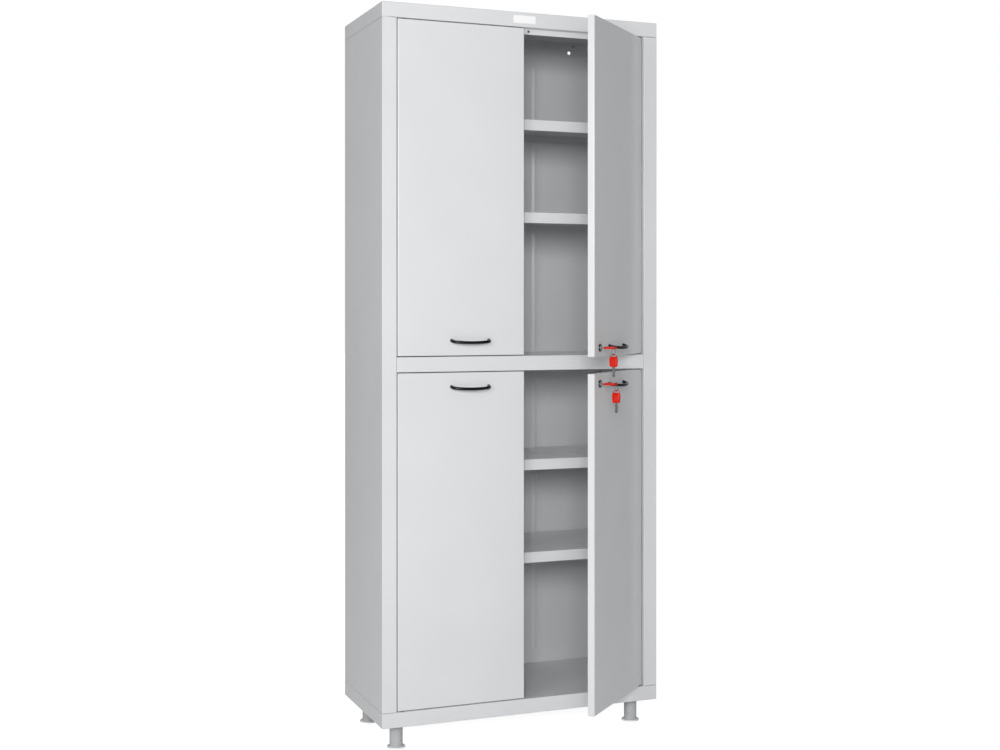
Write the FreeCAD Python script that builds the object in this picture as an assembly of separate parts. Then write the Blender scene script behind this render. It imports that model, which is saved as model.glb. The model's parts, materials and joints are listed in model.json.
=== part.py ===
"""Two-section sheet-steel medicine cabinet with four pivot-hung doors, two cam locks and loose shelves.

Millimetres. +X right, the front faces -Y, +Z up. The origin is on the floor under the middle of the body.
The right-hand doors stand open at rest, the left-hand doors are closed.
"""
import FreeCAD, Part
import math
import os

Vector = FreeCAD.Vector
os.makedirs("parts", exist_ok=True)

# Driving dimensions: carcass
cabinet_width = 700.0
cabinet_depth = 320.0
carcass_height = 1655.0
leg_height = 58.0
sheet = 1.0
band_height = 35.0
rail_height = 35.0
stile_width = 35.0
stile_return = 20.0
panel_flange = 15.0
pan_flange = 12.0
stop_lip_height = 13.0
rail_return = 15.0
rail_end_clearance = 0.3
crease_from_side = 191.0
crease_width = 14.0
crease_depth = 2.0
crease_end_margin = 39.0
wall_hole_from_side = 92.0
wall_hole_rise = 9.0
wall_hole_diameter = 9.0
plate_width = 56.0
plate_height = 18.0
plate_thickness = 0.8
plate_centre_drop = 17.0

# Driving dimensions: shelves
shelf_low_rise = 341.0
shelf_high_rise = 562.0
shelf_setback = 25.0
shelf_side_clearance = 2.0
shelf_back_clearance = 6.0
shelf_lip_height = 26.0
shelf_lip_return = 10.0
shelf_flange = 15.0
clip_width = 24.0
clip_height = 16.0
clip_reach = 14.0
clip_thickness = 1.5
clip_inset = 45.0

# Driving dimensions: doors
door_gap = 2.0
door_thickness = 16.0
door_sheet = 1.0
door_edge_radius = 2.0
door_upright_return = 18.0
door_cross_return = 9.0
door_rest_angle = 43.0
pivot_inset = 12.0
pivot_setback = 6.0
pin_radius = 3.0
pin_head_radius = 5.0
pin_head_height = 2.0
pin_reach = 8.0
bush_wall = 1.45
bush_flange_radius = 5.5
bush_play = 0.3
bush_length = 9.0
stiffener_width = 40.0
stiffener_sheet = 1.0
stiffener_margin = 0.5
bumper_radius = 2.5
bumper_thickness = 1.7
bumper_play = 0.3
bumper_from_middle = 17.0
running_clearance = 0.05

# Driving dimensions: handles
handle_spacing = 92.0
handle_bar_radius = 3.6
handle_projection = 25.0
handle_bow_rise = 7.5
handle_bow_inset = 7.0
handle_tilt = 14.0
handle_collar_radius = 4.0
handle_collar_height = 1.6
handle_bar_start = 1.4
handle_from_lock = 103.0
left_upper_handle_edge = 35.0
left_lower_handle_edge = 33.0
right_upper_handle_edge = 23.0
right_lower_handle_edge = 25.0
screw_radius = 2.0
screw_head_radius = 3.5
screw_head_height = 2.5
screw_grip = 6.0

# Driving dimensions: locks and keys
lock_from_free_edge = 33.0
upper_lock_edge = 20.0
lower_lock_edge = 23.0
lock_bezel_radius = 9.0
lock_bezel_height = 2.5
lock_barrel_radius = 8.0
lock_cam_play = 0.6
lock_plug_radius = 5.0
lock_tail_radius = 3.0
lock_nut_flats = 22.0
lock_nut_height = 3.0
cam_length = 32.0
cam_width = 12.0
cam_thickness = 2.0
cam_tail_proud = 1.0
cam_door_gap = 1.0
cam_slot_clearance = 2.0
keyway_depth = 14.0
keyway_clearance = 0.2
blade_width = 6.0
blade_thickness = 2.0
blade_length = 23.0
head_width = 20.0
head_length = 29.5
head_thickness = 5.0
head_tip_radius = 7.0
head_edge_radius = 1.6
head_overlap = 6.0
head_reach = 41.0
head_slot_length = 13.6
head_slot_width = 4.0
head_slot_rim = 2.4
ring_radius = 10.5
ring_wire_radius = 0.6
ring_key_clearance = 3.2
ring_spare_gap = 0.7

# Driving dimensions: slide bolts of the left doors
bolt_radius = 3.5
bolt_length = 62.0
bolt_edge_setback = 3.0
bolt_from_free_edge = 9.0
bolt_hole_clearance = 1.0
bolt_knob_radius = 2.5
bolt_knob_length = 9.0
bolt_knob_rise = 36.0
bracket_sheet = 1.5
bracket_width = 17.0
bracket_low = 8.0
bracket_high = 50.0
bracket_ear_depth = 11.0
bracket_bolt_gap = 2.0

# Driving dimensions: legs, feet and rivets
leg_inset = 48.0
leg_radius = 15.25
leg_wall = 1.5
leg_end_wall = 10.0
leg_plate_size = 62.0
leg_plate_thickness = 2.0
leg_screw_spacing = 48.0
foot_radius = 21.5
foot_height = 4.0
foot_edge_radius = 1.2
foot_play = 0.3
spindle_radius = 5.0
spindle_length = 34.0
rivet_radius = 2.0
rivet_head_radius = 3.5
rivet_head_height = 1.2
rivet_edge = 8.0
rivet_end_margin = 45.0
rivets_per_side = 8
rivets_per_band = 4
rivets_per_flange = 3

# Places worked out from the driving dimensions
half_width = cabinet_width / 2
front_y = -cabinet_depth / 2
back_face_y = cabinet_depth / 2 - rivet_head_height
frame_back_y = back_face_y - sheet
floor_top_z = leg_height + band_height
cabinet_top_z = leg_height + carcass_height
top_band_z = cabinet_top_z - band_height
rail_top_z = (floor_top_z + top_band_z + rail_height) / 2
rail_low_z = rail_top_z - rail_height
stile_x = half_width - stile_width
side_inner_x = half_width - sheet
door_back_y = front_y + door_thickness
stop_lip_y = door_back_y + bumper_play + bumper_thickness
hinge_edge_x = stile_x - door_gap
free_edge_x = door_gap / 2
pivot_x = hinge_edge_x - pivot_inset
pivot_y = front_y + pivot_setback
bush_radius = pin_radius + running_clearance + bush_wall
door_corner_sweep = math.hypot(pivot_inset, door_thickness - pivot_setback)
cam_front_y = door_back_y + cam_door_gap
lock_x = free_edge_x + lock_from_free_edge
handle_middle_x = lock_x + handle_from_lock
bolt_x = -(free_edge_x + bolt_from_free_edge)
bolt_y = door_back_y + bracket_sheet + bracket_bolt_gap + bolt_radius
levels = {
    "upper": (rail_top_z + door_gap, top_band_z - door_gap),
    "lower": (floor_top_z + door_gap, rail_low_z - door_gap),
}
sides = {"left": -1, "right": 1}
lock_heights = {
    "upper": levels["upper"][0] + upper_lock_edge,
    "lower": levels["lower"][1] - lower_lock_edge,
}
handle_heights = {
    ("upper", "left"): levels["upper"][0] + left_upper_handle_edge,
    ("lower", "left"): levels["lower"][1] - left_lower_handle_edge,
    ("upper", "right"): levels["upper"][0] + right_upper_handle_edge,
    ("lower", "right"): levels["lower"][1] - right_lower_handle_edge,
}
shelf_tops = {
    "upper_high_shelf": rail_top_z + shelf_high_rise,
    "upper_low_shelf": rail_top_z + shelf_low_rise,
    "lower_high_shelf": floor_top_z + shelf_high_rise,
    "lower_low_shelf": floor_top_z + shelf_low_rise,
}
X_AXIS = Vector(1, 0, 0)
Y_AXIS = Vector(0, 1, 0)
Z_AXIS = Vector(0, 0, 1)


def block(x_pair, y_pair, z_pair):
    """Box between two places on each axis, given in any order."""
    low = Vector(min(x_pair), min(y_pair), min(z_pair))
    high = Vector(max(x_pair), max(y_pair), max(z_pair))
    size = high - low
    return Part.makeBox(size.x, size.y, size.z, low)


def rod(radius, start, axis, length):
    """Round bar from a start point along an axis."""
    return Part.makeCylinder(radius, length, start, axis)


def joined(pieces):
    """One solid from pieces that touch or overlap."""
    whole = pieces[0].fuse(pieces[1:])
    return whole.removeSplitter()


def save(name, shapes):
    """Write one node; several shapes are kept as separate solids."""
    solids = [solid for shape in shapes for solid in shape.Solids]
    shape = solids[0] if len(solids) == 1 else Part.makeCompound(solids)
    shape.exportStep("parts/" + name + ".step")


def spaced(first, last, count):
    """Evenly spaced places, ends included."""
    step = (last - first) / (count - 1)
    return [first + step * index for index in range(count)]


# Fastening places shared by the sheets and the rivets
back_rivet_places = []
for side_sign in sides.values():
    for height in spaced(floor_top_z + rivet_end_margin, top_band_z - rivet_end_margin, rivets_per_side):
        back_rivet_places.append((side_sign * (half_width - rivet_edge), height))
for across in spaced(-stile_x + rivet_end_margin, stile_x - rivet_end_margin, rivets_per_band):
    back_rivet_places.append((across, cabinet_top_z - rivet_edge))
    back_rivet_places.append((across, leg_height + band_height / 2))
flange_rivet_places = []
for side_sign in sides.values():
    for along in spaced(front_y + rivet_end_margin, frame_back_y - rivet_end_margin, rivets_per_flange):
        flange_rivet_places.append((side_sign * (half_width - rivet_edge), along))
wall_hole_places = []
for side_sign in sides.values():
    wall_hole_places.append((side_sign * (half_width - wall_hole_from_side), top_band_z + wall_hole_rise))


def back_holes():
    """Drillings along Y through the back: rivets and wall fixings."""
    start_y = frame_back_y - 2 * sheet
    drillings = []
    for across, height in back_rivet_places:
        drillings.append(rod(rivet_radius, Vector(across, start_y, height), Y_AXIS, 4 * sheet))
    for across, height in wall_hole_places:
        drillings.append(rod(wall_hole_diameter / 2, Vector(across, start_y, height), Y_AXIS, 4 * sheet))
    return drillings


def flange_holes(height):
    """Drillings along Z for the rivets between a side panel and the top or bottom panel."""
    drillings = []
    for across, along in flange_rivet_places:
        drillings.append(rod(rivet_radius, Vector(across, along, height - 2 * sheet), Z_AXIS, 4 * sheet))
    return drillings


def pin_holes(height):
    """Drillings along Z for the pair of door pivots at one level."""
    drillings = []
    for side_sign in sides.values():
        start = Vector(side_sign * pivot_x, pivot_y, height - 2 * sheet)
        drillings.append(rod(pin_radius, start, Z_AXIS, 4 * sheet))
    return drillings


def pan(low_z, high_z):
    """Folded pan with a closed face and a skirt on all four sides."""
    outer = block((-half_width, half_width), (front_y, frame_back_y), (low_z, high_z))
    cavity_z = (low_z + sheet, high_z - sheet)
    inner_x = (-side_inner_x, side_inner_x)
    inner_y = (front_y + sheet, frame_back_y - sheet)
    cavity = block(inner_x, inner_y, cavity_z)
    return outer.cut(cavity)


def make_bottom_panel():
    """Cabinet floor with a skirt and an inward flange all round its underside."""
    shell = pan(leg_height, floor_top_z)
    rim = sheet + pan_flange
    underside = block(
        (-half_width + rim, half_width - rim),
        (front_y + rim, frame_back_y - rim),
        (leg_height - sheet, leg_height + 2 * sheet),
    )
    drillings = back_holes() + flange_holes(floor_top_z) + pin_holes(floor_top_z) + leg_screw_holes()
    return shell.cut([underside] + drillings)


def make_top_panel():
    """Top with a skirt, side flanges, and a front ledge that turns down into the door-stop lip."""
    shell = pan(top_band_z, cabinet_top_z)
    rim = sheet + panel_flange
    underside = block(
        (-half_width + rim, half_width - rim),
        (stop_lip_y + sheet, frame_back_y - sheet),
        (top_band_z - sheet, top_band_z + 2 * sheet),
    )
    lip_half = pivot_x - door_corner_sweep - running_clearance
    lip_z = (top_band_z - stop_lip_height, top_band_z + sheet)
    lip = block((-lip_half, lip_half), (stop_lip_y, stop_lip_y + sheet), lip_z)
    drillings = back_holes() + flange_holes(top_band_z) + pin_holes(top_band_z)
    return joined([shell.cut([underside]), lip]).cut(drillings)


def make_side_panel(side_sign):
    """Side sheet folded into the front stile and its return, with flanges at the back, top and bottom."""
    outer_x = side_sign * half_width
    inner_x = side_sign * side_inner_x
    flange_x = side_sign * (half_width - panel_flange)
    stile_inner_x = side_sign * stile_x
    height = (floor_top_z, top_band_z)
    wall = block((outer_x, inner_x), (front_y, frame_back_y), height)
    stile = block((outer_x, stile_inner_x), (front_y, front_y + sheet), height)
    return_x = (stile_inner_x, stile_inner_x + side_sign * sheet)
    turned = block(return_x, (front_y, front_y + stile_return), height)
    rear = block((outer_x, flange_x), (frame_back_y - sheet, frame_back_y), height)
    head = block((outer_x, flange_x), (front_y, frame_back_y), (top_band_z - sheet, top_band_z))
    sill = block((outer_x, flange_x), (front_y, frame_back_y), (floor_top_z, floor_top_z + sheet))
    shell = joined([wall, stile, turned, rear, head, sill])
    return shell.cut(back_holes() + flange_holes(top_band_z) + flange_holes(floor_top_z))


def make_back_panel():
    """Flat back sheet with two upright creases pressed inwards."""
    panel = block(
        (-half_width + sheet, half_width - sheet),
        (frame_back_y, back_face_y),
        (leg_height + sheet, cabinet_top_z - sheet),
    )
    crease_z = (floor_top_z + crease_end_margin, top_band_z - crease_end_margin)
    raised = []
    hollows = []
    for side_sign in sides.values():
        middle_x = side_sign * (half_width - crease_from_side)
        raised.append(crease(middle_x, frame_back_y, crease_width / 2, crease_z))
        hollow_half = crease_width / 2 - sheet
        hollow_z = (crease_z[0] + sheet, crease_z[1] - sheet)
        hollows.append(crease(middle_x, back_face_y, hollow_half, hollow_z))
    return joined([panel] + raised).cut(hollows + back_holes())


def crease(middle_x, base_y, half, z_pair):
    """Shallow three-sided ridge that rises towards the front from a base plane."""
    corners = [
        Vector(middle_x - half, base_y, z_pair[0]),
        Vector(middle_x, base_y - crease_depth, z_pair[0]),
        Vector(middle_x + half, base_y, z_pair[0]),
    ]
    outline = Part.makePolygon(corners + corners[:1])
    return Part.Face(outline).extrude(Vector(0, 0, z_pair[1] - z_pair[0]))


def make_middle_shelf():
    """Fixed floor of the upper section, folded down at the front into the rail between the doors."""
    behind_stile_y = front_y + stile_return + rail_end_clearance
    rail_x = stile_x - rail_end_clearance
    rear_y = frame_back_y - max(sheet, crease_depth) - rail_end_clearance
    top = (rail_top_z - sheet, rail_top_z)
    deck = block((-side_inner_x, side_inner_x), (behind_stile_y, rear_y), top)
    nose = block((-rail_x, rail_x), (front_y, behind_stile_y), top)
    rail = block((-rail_x, rail_x), (front_y, front_y + sheet), (rail_low_z, rail_top_z))
    turned = block((-rail_x, rail_x), (front_y, front_y + rail_return), (rail_low_z, rail_low_z + sheet))
    flange_z = (rail_top_z - panel_flange, rail_top_z)
    flanges = [block((-side_inner_x, side_inner_x), (rear_y - sheet, rear_y), flange_z)]
    for side_sign in sides.values():
        edge = side_sign * side_inner_x
        flanges.append(block((edge, edge - side_sign * sheet), (behind_stile_y, rear_y), flange_z))
    cam_slot = block(
        (lock_x - cam_length - cam_slot_clearance, lock_x + cam_width / 2 + cam_slot_clearance),
        (cam_front_y - cam_slot_clearance / 2, cam_front_y + cam_thickness + cam_slot_clearance),
        (rail_top_z - 2 * sheet, rail_top_z + sheet),
    )
    bolt_start = Vector(bolt_x, bolt_y, rail_top_z - 2 * sheet)
    bolt_hole = rod(bolt_radius + bolt_hole_clearance, bolt_start, Z_AXIS, 4 * sheet)
    drillings = [cam_slot, bolt_hole] + pin_holes(rail_top_z) + pin_holes(rail_low_z)
    return joined([deck, nose, rail, turned] + flanges).cut(drillings)


def make_shelf(top_z):
    """Loose shelf: sheet with a deep front lip and shallow flanges on the other sides."""
    half = side_inner_x - shelf_side_clearance
    y_pair = (front_y + shelf_setback, frame_back_y - shelf_back_clearance)
    deck = block((-half, half), y_pair, (top_z - sheet, top_z))
    lip = block((-half, half), (y_pair[0], y_pair[0] + sheet), (top_z - shelf_lip_height, top_z))
    lip_low = (top_z - shelf_lip_height, top_z - shelf_lip_height + sheet)
    turned = block((-half, half), (y_pair[0], y_pair[0] + shelf_lip_return), lip_low)
    flange_z = (top_z - shelf_flange, top_z)
    rear = block((-half, half), (y_pair[1] - sheet, y_pair[1]), flange_z)
    ends = []
    for side_sign in sides.values():
        ends.append(block((side_sign * half, side_sign * (half - sheet)), y_pair, flange_z))
    return joined([deck, lip, turned, rear] + ends)


def make_shelf_clips():
    """Angle clips on the side panels, four under each shelf."""
    clips = []
    first_y = front_y + shelf_setback + clip_inset
    last_y = frame_back_y - shelf_back_clearance - clip_inset
    for top_z in shelf_tops.values():
        seat_z = top_z - shelf_flange
        for side_sign in sides.values():
            wall_x = side_sign * side_inner_x
            for middle_y in (first_y, last_y):
                span = (middle_y - clip_width / 2, middle_y + clip_width / 2)
                upright_x = (wall_x, wall_x - side_sign * clip_thickness)
                upright = block(upright_x, span, (seat_z - clip_height, seat_z))
                tab_x = (wall_x, wall_x - side_sign * clip_reach)
                tab = block(tab_x, span, (seat_z - clip_thickness, seat_z))
                clips.append(joined([upright, tab]))
    return clips


def make_rivets():
    """Blind rivets: the back panel to its frame, and the side panels to the top and bottom panels."""
    rivets = []
    grip = 2 * sheet
    for across, height in back_rivet_places:
        rivets.append(rivet(Vector(across, back_face_y, height), Vector(0, -1, 0), grip))
    for across, along in flange_rivet_places:
        rivets.append(rivet(Vector(across, along, top_band_z - sheet), Z_AXIS, grip))
        rivets.append(rivet(Vector(across, along, floor_top_z + sheet), Vector(0, 0, -1), grip))
    return rivets


def rivet(seat, inward, grip):
    """Rivet with a flat head outside, a shank through the sheets and a set head behind them."""
    head = rod(rivet_head_radius, seat, inward * -1, rivet_head_height)
    shank = rod(rivet_radius, seat, inward, grip)
    tail = rod(rivet_head_radius, seat + inward * grip, inward, rivet_head_height)
    return joined([head, shank, tail])


# Legs and levelling feet
leg_places = []
for side_sign in sides.values():
    for end_name, end_sign in (("front", -1), ("back", 1)):
        side_name = "left" if side_sign < 0 else "right"
        middle_y = end_sign * (cabinet_depth / 2 - leg_inset)
        leg_places.append((end_name + "_" + side_name, side_sign * (half_width - leg_inset), middle_y))
plate_top_z = floor_top_z - sheet
plate_low_z = plate_top_z - leg_plate_thickness
leg_low_z = foot_height + foot_play


def leg_screw_places():
    """Four screw places round each leg."""
    reach = leg_screw_spacing / 2
    places = []
    for _, middle_x, middle_y in leg_places:
        for step_x in (-reach, reach):
            for step_y in (-reach, reach):
                places.append((middle_x + step_x, middle_y + step_y))
    return places


def leg_screw_holes():
    """Drillings for the leg screws through the leg plates and the cabinet floor."""
    depth = leg_plate_thickness + 2 * sheet
    return [rod(screw_radius, Vector(x, y, plate_low_z), Z_AXIS, depth) for x, y in leg_screw_places()]


def make_leg(middle_x, middle_y):
    """Tube welded to a square plate, closed at its foot by a threaded end."""
    half = leg_plate_size / 2
    plate_x = (middle_x - half, middle_x + half)
    plate = block(plate_x, (middle_y - half, middle_y + half), (plate_low_z, plate_top_z))
    start = Vector(middle_x, middle_y, leg_low_z)
    outer = rod(leg_radius, start, Z_AXIS, plate_low_z - leg_low_z)
    bore_start = start + Vector(0, 0, leg_end_wall)
    bore = rod(leg_radius - leg_wall, bore_start, Z_AXIS, plate_low_z - leg_low_z - leg_end_wall)
    thread = rod(spindle_radius + running_clearance, start, Z_AXIS, leg_end_wall)
    return joined([plate, outer.cut([bore, thread])]).cut(leg_screw_holes())


def make_foot(middle_x, middle_y):
    """Round levelling foot on a spindle that screws into the leg."""
    base = rod(foot_radius, Vector(middle_x, middle_y, 0), Z_AXIS, foot_height)
    rims = [edge for edge in base.Edges if isinstance(edge.Curve, Part.Circle)]
    base = base.makeFillet(foot_edge_radius, rims)
    spindle = rod(spindle_radius, Vector(middle_x, middle_y, foot_height / 2), Z_AXIS, spindle_length)
    return joined([base, spindle])


def make_leg_screws():
    """Pan-head screws under the leg plates, flush with the cabinet floor."""
    screws = []
    for x, y in leg_screw_places():
        head_start = Vector(x, y, plate_low_z - screw_head_height)
        head = rod(screw_head_radius, head_start, Z_AXIS, screw_head_height)
        shank = rod(screw_radius, Vector(x, y, plate_low_z), Z_AXIS, floor_top_z - plate_low_z)
        screws.append(joined([head, shank]))
    return screws


# Doors and what they carry, made closed and then turned about the pivot
def turned_open(shape, side_name):
    """Right-hand pieces turned from the closed place to the rest angle."""
    if side_name == "right":
        shape = shape.copy()
        shape.rotate(Vector(pivot_x, pivot_y, 0), Z_AXIS, door_rest_angle)
    return shape


def make_door(side_sign, z_pair, holes):
    """Door pan with rounded front edges and returns round its open back."""
    edges_x = (side_sign * free_edge_x, side_sign * hinge_edge_x)
    low_x = min(edges_x)
    high_x = max(edges_x)
    outer = block(edges_x, (front_y, door_back_y), z_pair)
    front_edges = []
    for edge in outer.Edges:
        if all(abs(vertex.Y - front_y) < door_sheet / 2 for vertex in edge.Vertexes):
            front_edges.append(edge)
    outer = outer.makeFillet(door_edge_radius, front_edges)
    cavity = block(
        (low_x + door_sheet, high_x - door_sheet),
        (front_y + door_sheet, door_back_y - door_sheet),
        (z_pair[0] + door_sheet, z_pair[1] - door_sheet),
    )
    mouth = block(
        (low_x + door_upright_return, high_x - door_upright_return),
        (door_back_y - 2 * door_sheet, door_back_y + door_sheet),
        (z_pair[0] + door_cross_return, z_pair[1] - door_cross_return),
    )
    pivot_start = Vector(side_sign * pivot_x, pivot_y, z_pair[0] - door_gap)
    pivot_bore = rod(bush_radius, pivot_start, Z_AXIS, z_pair[1] - z_pair[0] + 2 * door_gap)
    return outer.cut([cavity, mouth, pivot_bore] + holes)


def make_stiffener(side_sign, z_pair):
    """Hat-section stiffener inside the door, between the handle's screws."""
    middle_x = side_sign * handle_middle_x
    half = stiffener_width / 2
    low_y = front_y + door_sheet
    high_y = door_back_y - door_sheet
    margin = door_cross_return + stiffener_margin
    height = (z_pair[0] + margin, z_pair[1] - margin)
    web = block((middle_x - half / 2, middle_x + half / 2), (high_y - stiffener_sheet, high_y), height)
    pieces = [web]
    for step in (-1, 1):
        wall_x = middle_x + step * half / 2
        pieces.append(block((wall_x, wall_x - step * stiffener_sheet), (low_y, high_y), height))
        pieces.append(block((wall_x, middle_x + step * half), (low_y, low_y + stiffener_sheet), height))
    return joined(pieces)


def make_bushes(side_sign, z_pair):
    """Flanged nylon bushes in the door's bottom and top edges."""
    bushes = []
    for edge_z, outward in ((z_pair[0], -1), (z_pair[1], 1)):
        axis = Vector(0, 0, outward)
        seat = Vector(side_sign * pivot_x, pivot_y, edge_z)
        flange = rod(bush_flange_radius, seat, axis, door_gap - bush_play)
        barrel = rod(bush_radius, seat, axis * -1, bush_length)
        bore_start = seat + axis * door_gap
        bore = rod(pin_radius + running_clearance, bore_start, axis * -1, bush_length + 2 * door_gap)
        bushes.append(joined([flange, barrel]).cut(bore))
    return bushes


def make_pivot_pins():
    """Headed pins through the ledge, the rail and the floor, two to a door."""
    pins = []
    for side_sign in sides.values():
        for z_pair in levels.values():
            for edge_z, outward in ((z_pair[0], -1), (z_pair[1], 1)):
                axis = Vector(0, 0, outward)
                seat = Vector(side_sign * pivot_x, pivot_y, edge_z)
                tip = seat - axis * pin_reach
                shank_length = pin_reach + door_gap + sheet
                head_seat = tip + axis * shank_length
                shank = rod(pin_radius, tip, axis, shank_length)
                pins.append(joined([shank, rod(pin_head_radius, head_seat, axis, pin_head_height)]))
    return pins


def make_door_bumpers():
    """Rubber buttons on the stop lip behind the free edges of the upper doors."""
    bumpers = []
    height = top_band_z - stop_lip_height / 2
    for side_sign in sides.values():
        seat = Vector(side_sign * bumper_from_middle, stop_lip_y, height)
        bumpers.append(rod(bumper_radius, seat, Y_AXIS * -1, bumper_thickness))
    return bumpers


def handle_feet(side_sign, height):
    """Places of the two feet of a handle on the closed door's face."""
    middle_x = side_sign * handle_middle_x
    half = handle_spacing / 2
    return [Vector(middle_x - half, front_y, height), Vector(middle_x + half, front_y, height)]


def make_handle(side_sign, height):
    """Bow handle: a round bar in one shallow arch that leans down, on two round collars."""
    feet = handle_feet(side_sign, height)
    middle_x = (feet[0].x + feet[1].x) / 2
    half = handle_spacing / 2
    start_y = front_y - handle_bar_start
    crown = handle_projection - handle_bar_radius - handle_bar_start
    bow_half = half - handle_bow_inset
    bow_radius = (bow_half ** 2 + handle_bow_rise ** 2) / (2 * handle_bow_rise)
    slope = math.asin(bow_half / bow_radius)
    tangent = handle_bow_inset / math.cos(slope)
    corner_radius = tangent / math.tan((math.pi / 2 - slope) / 2)
    bow_end = crown - handle_bow_rise
    corner_start = bow_end - tangent * math.sin(slope) - tangent
    mid_turn = math.pi + (math.pi / 2 - slope) / 2
    corner_x = -half + corner_radius * (1 + math.cos(mid_turn))
    corner_out = corner_start - corner_radius * math.sin(mid_turn)

    def place(across, out):
        return Vector(middle_x + across, start_y - out, height)

    rises = [place(side * half, corner_start) for side in (-1, 1)]
    turns = [place(side * -corner_x, corner_out) for side in (-1, 1)]
    ends = [place(side * bow_half, bow_end) for side in (-1, 1)]
    path = Part.Wire([
        Part.LineSegment(place(-half, 0), rises[0]).toShape(),
        Part.Arc(rises[0], turns[0], ends[0]).toShape(),
        Part.Arc(ends[0], place(0, crown), ends[1]).toShape(),
        Part.Arc(ends[1], turns[1], rises[1]).toShape(),
        Part.LineSegment(rises[1], place(half, 0)).toShape(),
    ])
    section = Part.Wire([Part.Circle(place(-half, 0), Y_AXIS, handle_bar_radius).toShape()])
    bar = path.makePipeShell([section], True, True)
    bar.rotate(place(0, 0), X_AXIS, handle_tilt)
    collars = [rod(handle_collar_radius, foot, Y_AXIS * -1, handle_collar_height) for foot in feet]
    threads = [rod(screw_radius, foot, Y_AXIS * -1, screw_grip) for foot in feet]
    return joined([bar] + collars).cut(threads)


def handle_holes(side_sign, height):
    """Clearance drillings for the handle screws through the door's face."""
    start = Y_AXIS * -door_sheet
    feet = handle_feet(side_sign, height)
    return [rod(screw_radius, foot + start, Y_AXIS, 3 * door_sheet) for foot in feet]


def make_handle_screws(side_sign, height):
    """Pan-head screws from inside the door into the handle's feet."""
    screws = []
    for foot in handle_feet(side_sign, height):
        inner_face = foot + Y_AXIS * door_sheet
        head = rod(screw_head_radius, inner_face, Y_AXIS, screw_head_height)
        shank = rod(screw_radius, inner_face, Y_AXIS * -1, door_sheet + screw_grip)
        screws.append(joined([head, shank]))
    return screws


# Locks and keys
lock_front_y = front_y - lock_bezel_height
barrel_end_y = cam_front_y - lock_cam_play


def make_lock_housing(height):
    """Round bezel and barrel, bored for the plug."""
    bezel = rod(lock_bezel_radius, Vector(lock_x, lock_front_y, height), Y_AXIS, lock_bezel_height)
    rim = [edge for edge in bezel.Edges if abs(edge.CenterOfMass.y - lock_front_y) < running_clearance]
    bezel = bezel.makeFillet(lock_bezel_height / 2, rim)
    barrel = rod(lock_barrel_radius, Vector(lock_x, front_y, height), Y_AXIS, barrel_end_y - front_y)
    bore_start = Vector(lock_x, lock_front_y, height)
    bore = rod(lock_plug_radius + running_clearance, bore_start, Y_AXIS, barrel_end_y - lock_front_y)
    return joined([bezel, barrel]).cut(bore)


def make_lock_nut(height):
    """Hexagon nut on the barrel behind the door's face."""
    corner = lock_nut_flats / math.sqrt(3)
    seat_y = front_y + door_sheet
    corners = []
    for index in range(7):
        turn = math.radians(60 * index)
        corners.append(Vector(lock_x + corner * math.cos(turn), seat_y, height + corner * math.sin(turn)))
    nut = Part.Face(Part.makePolygon(corners)).extrude(Y_AXIS * lock_nut_height)
    return nut.cut(rod(lock_barrel_radius, Vector(lock_x, seat_y, height), Y_AXIS, lock_nut_height))


def make_lock_plug(height):
    """Turning plug with a level keyway in front and a tail for the cam."""
    body = rod(lock_plug_radius, Vector(lock_x, lock_front_y, height), Y_AXIS, barrel_end_y - lock_front_y)
    tail_end_y = cam_front_y + cam_thickness + cam_tail_proud
    tail = rod(lock_tail_radius, Vector(lock_x, barrel_end_y, height), Y_AXIS, tail_end_y - barrel_end_y)
    half_wide = blade_width / 2 + keyway_clearance
    half_high = blade_thickness / 2 + keyway_clearance
    keyway = block(
        (lock_x - half_wide, lock_x + half_wide),
        (lock_front_y - keyway_clearance, lock_front_y + keyway_depth),
        (height - half_high, height + half_high),
    )
    return joined([body, tail]).cut(keyway)


def make_cam(height, direction):
    """Flat cam with a rounded end that points along the door when unlocked."""
    reach = cam_length - cam_width / 2
    bar_x = (lock_x, lock_x + direction * reach)
    bar_y = (cam_front_y, cam_front_y + cam_thickness)
    bar = block(bar_x, bar_y, (height - cam_width / 2, height + cam_width / 2))
    ends = [rod(cam_width / 2, Vector(x, cam_front_y, height), Y_AXIS, cam_thickness) for x in bar_x]
    hole = rod(lock_tail_radius, Vector(lock_x, cam_front_y, height), Y_AXIS, cam_thickness)
    return joined([bar] + ends).cut(hole)


def make_key(blade_visible):
    """Flat key lying level: head tip at the origin pointing along -Y, blade running along +Y."""
    half = head_width / 2
    head = block((-half, half), (0, head_length), (-head_thickness / 2, head_thickness / 2))
    tip_edges = []
    for edge in head.Edges:
        upright = abs(edge.Vertexes[0].Z - edge.Vertexes[1].Z) > head_thickness / 2
        if upright and edge.CenterOfMass.y < head_length / 2:
            tip_edges.append(edge)
    head = head.makeFillet(head_tip_radius, tip_edges)
    rims = []
    for edge in head.Edges:
        if abs(abs(edge.CenterOfMass.z) - head_thickness / 2) < running_clearance:
            rims.append(edge)
    head = head.makeFillet(head_edge_radius, rims)
    slot_y = head_slot_rim + head_slot_width / 2
    slot_half = (head_slot_length - head_slot_width) / 2
    slot_z = (-head_thickness, head_thickness)
    slot_ends = (-slot_half, slot_half)
    slot = [block(slot_ends, (slot_y - head_slot_width / 2, slot_y + head_slot_width / 2), slot_z)]
    for end_x in slot_ends:
        end_start = Vector(end_x, slot_y, -head_thickness)
        slot.append(rod(head_slot_width / 2, end_start, Z_AXIS, 2 * head_thickness))
    blade_y = (head_length - head_overlap, head_length + blade_visible)
    blade_z = (-blade_thickness / 2, blade_thickness / 2)
    blade = block((-blade_width / 2, blade_width / 2), blade_y, blade_z)
    return joined([head.cut(slot), blade])


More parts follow.
